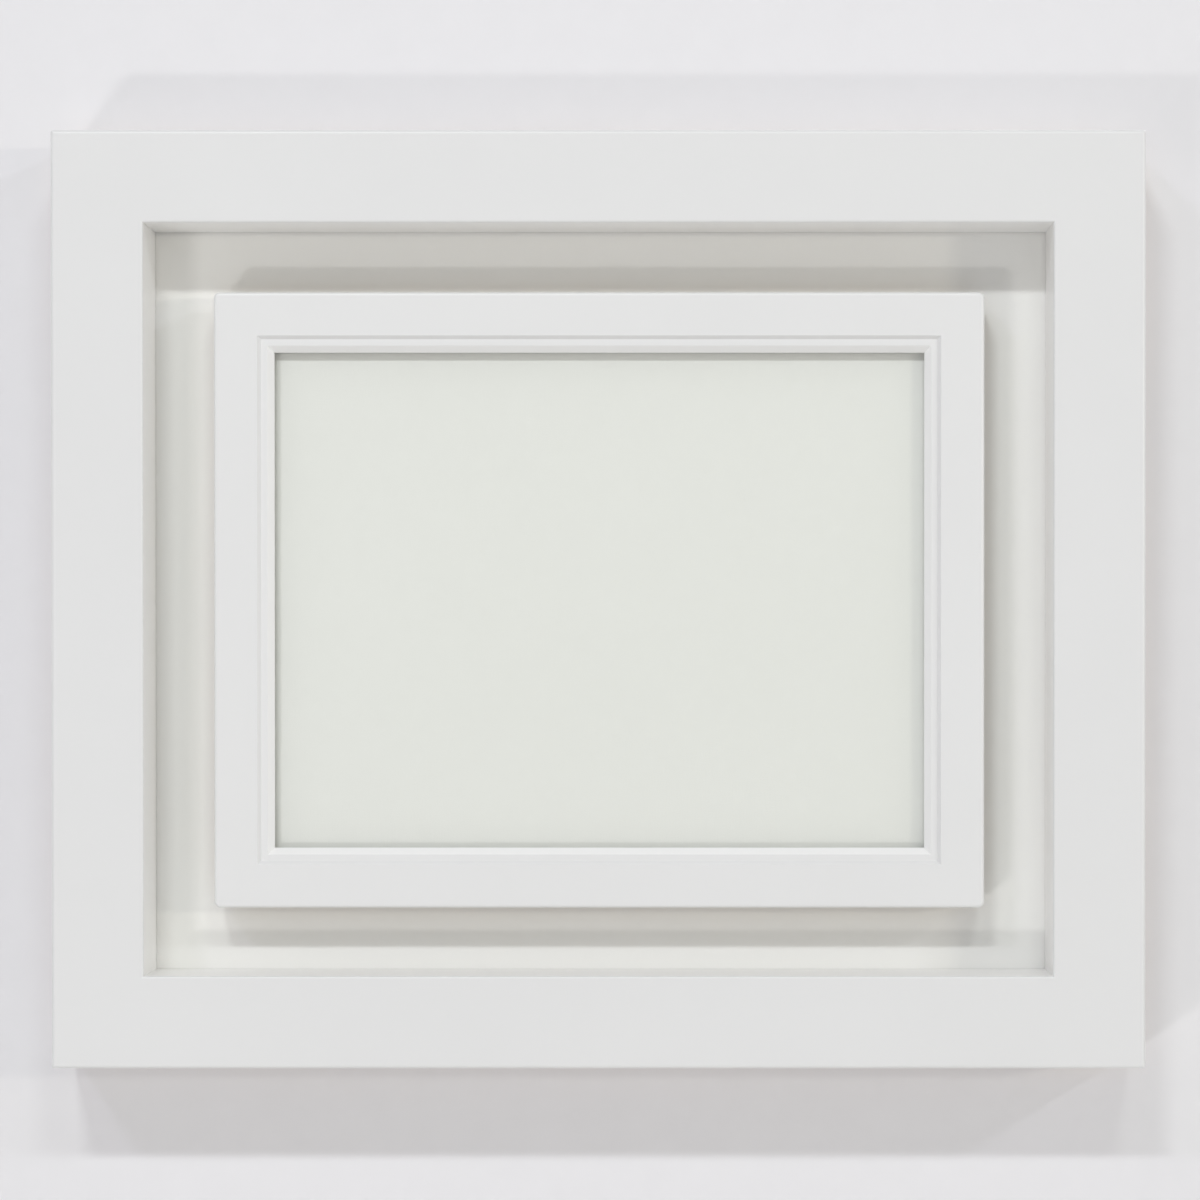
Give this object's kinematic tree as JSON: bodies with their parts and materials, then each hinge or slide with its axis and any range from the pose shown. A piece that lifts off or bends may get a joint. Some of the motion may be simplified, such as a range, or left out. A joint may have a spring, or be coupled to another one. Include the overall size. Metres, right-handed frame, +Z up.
{
  "type": "shadow box",
  "caption": "Deep white lacquered shadow box with a smaller stepped frame floating inside it over a plain insert, and ring hangers behind.",
  "frame": {"origin": "centre of the frame's flat bottom face", "axes": "+X to the right seen from the front, -Y out of the front, +Z up"},
  "size_m": [0.3556, 0.0429, 0.3048],
  "materials": {
    "white_lacquer": "satin",
    "inner_lacquer": "satin",
    "white_board": "matte",
    "insert_board": "matte",
    "clear_glazing": "gloss",
    "brown_fibreboard": "matte",
    "bare_wood": "matte",
    "zinc_steel": "satin",
    "nickel_steel": "satin",
    "grey_rubber": "matte"
  },
  "bodies": {
    "box": {"backboard": "brown_fibreboard", "bottom_rail": "white_lacquer", "bumper_left": "grey_rubber", "bumper_right": "grey_rubber", "button_screw_bottom_left": "zinc_steel", "button_screw_bottom_right": "zinc_steel", "button_screw_left": "zinc_steel", "button_screw_right": "zinc_steel", "button_screw_top_left": "zinc_steel", "button_screw_top_right": "zinc_steel", "corner_nail_bottom_left": "zinc_steel", "corner_nail_bottom_right": "zinc_steel", "corner_nail_top_left": "zinc_steel", "corner_nail_top_right": "zinc_steel", "display_board": "white_board", "glazing_pane": "clear_glazing", "hanger_screw_left": "zinc_steel", "hanger_screw_right": "zinc_steel", "hanger_strap_left": "nickel_steel", "hanger_strap_right": "nickel_steel", "inner_bottom_rail": "inner_lacquer", "inner_left_stile": "inner_lacquer", "inner_nail_bottom_left": "zinc_steel", "inner_nail_bottom_right": "zinc_steel", "inner_nail_top_left": "zinc_steel", "inner_nail_top_right": "zinc_steel", "inner_right_stile": "inner_lacquer", "inner_top_rail": "inner_lacquer", "insert_panel": "insert_board", "left_stile": "white_lacquer", "mounting_screw_bottom_left": "zinc_steel", "mounting_screw_bottom_right": "zinc_steel", "mounting_screw_top_left": "zinc_steel", "mounting_screw_top_right": "zinc_steel", "retainer_point_bottom": "zinc_steel", "retainer_point_left": "zinc_steel", "retainer_point_right": "zinc_steel", "retainer_point_top": "zinc_steel", "right_stile": "white_lacquer", "riser_bottom": "bare_wood", "riser_left": "bare_wood", "riser_right": "bare_wood", "riser_top": "bare_wood", "top_rail": "white_lacquer"},
    "hanger_ring_left": {"hanger_ring_left": "nickel_steel"},
    "hanger_ring_right": {"hanger_ring_right": "nickel_steel"},
    "turn_button_bottom_left": {"turn_button_bottom_left": "zinc_steel"},
    "turn_button_bottom_right": {"turn_button_bottom_right": "zinc_steel"},
    "turn_button_left": {"turn_button_left": "zinc_steel"},
    "turn_button_right": {"turn_button_right": "zinc_steel"},
    "turn_button_top_left": {"turn_button_top_left": "zinc_steel"},
    "turn_button_top_right": {"turn_button_top_right": "zinc_steel"}
  },
  "joints": [
    {"name": "turn_top_left", "type": "hinge", "parent": "box", "child": "turn_button_top_left", "pos_m": [-0.0778, 0.0193, 0.2883], "axis": [0, 1, 0], "continuous": true},
    {"name": "turn_top_right", "type": "hinge", "parent": "box", "child": "turn_button_top_right", "pos_m": [0.0778, 0.0193, 0.2883], "axis": [0, 1, 0], "continuous": true},
    {"name": "turn_left", "type": "hinge", "parent": "box", "child": "turn_button_left", "pos_m": [-0.1613, 0.0193, 0.1524], "axis": [0, 1, 0], "continuous": true},
    {"name": "turn_right", "type": "hinge", "parent": "box", "child": "turn_button_right", "pos_m": [0.1613, 0.0193, 0.1524], "axis": [0, 1, 0], "continuous": true},
    {"name": "turn_bottom_left", "type": "hinge", "parent": "box", "child": "turn_button_bottom_left", "pos_m": [-0.0778, 0.0193, 0.0165], "axis": [0, 1, 0], "continuous": true},
    {"name": "turn_bottom_right", "type": "hinge", "parent": "box", "child": "turn_button_bottom_right", "pos_m": [0.0778, 0.0193, 0.0165], "axis": [0, 1, 0], "continuous": true},
    {"name": "swing_ring_left", "type": "hinge", "parent": "box", "child": "hanger_ring_left", "pos_m": [-0.1653, 0.0216, 0.2248], "axis": [1, 0, 0], "range_deg": [0, 180]},
    {"name": "swing_ring_right", "type": "hinge", "parent": "box", "child": "hanger_ring_right", "pos_m": [0.1653, 0.0216, 0.2248], "axis": [1, 0, 0], "range_deg": [0, 180]}
  ]
}
